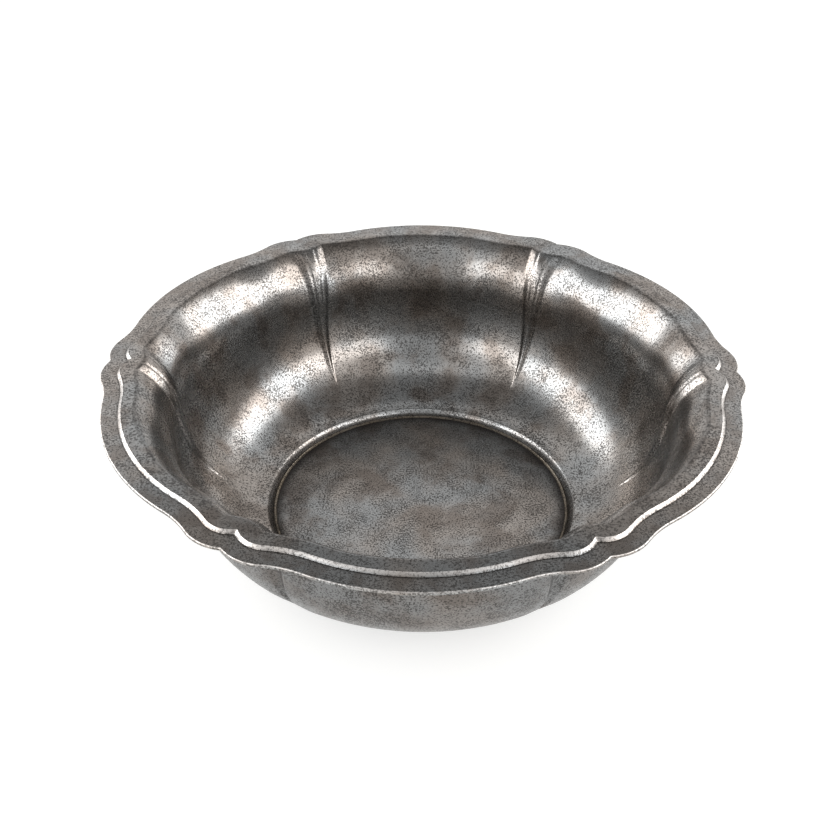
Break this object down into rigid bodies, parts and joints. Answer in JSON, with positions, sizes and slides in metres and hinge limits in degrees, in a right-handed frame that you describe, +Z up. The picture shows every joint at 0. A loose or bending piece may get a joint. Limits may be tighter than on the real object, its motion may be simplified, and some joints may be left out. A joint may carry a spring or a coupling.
{
  "type": "lobed bowl",
  "caption": "Deep lobed pewter bowl with a wide stepped rim, creased ribs down the wall and a round recessed floor.",
  "frame": {"origin": "middle of the flat underside that the bowl stands on", "axes": "+Z up along the bowl's axis, +X through the notch between two lobes, -Y through the middle of the lobe nearest the viewer"},
  "size_m": [0.25, 0.2498, 0.0726],
  "materials": {
    "pewter_body": "antiqued, satin",
    "pewter_border": "antiqued, satin",
    "pewter_floor": "antiqued, satin, worn by use",
    "solder": "soft solder, scraped smooth"
  },
  "bodies": {
    "root": {"bowl_body": "pewter_body", "rim_border": "pewter_border", "rim_solder": "solder", "floor_disc": "pewter_floor", "floor_solder": "solder"}
  },
  "joints": []
}
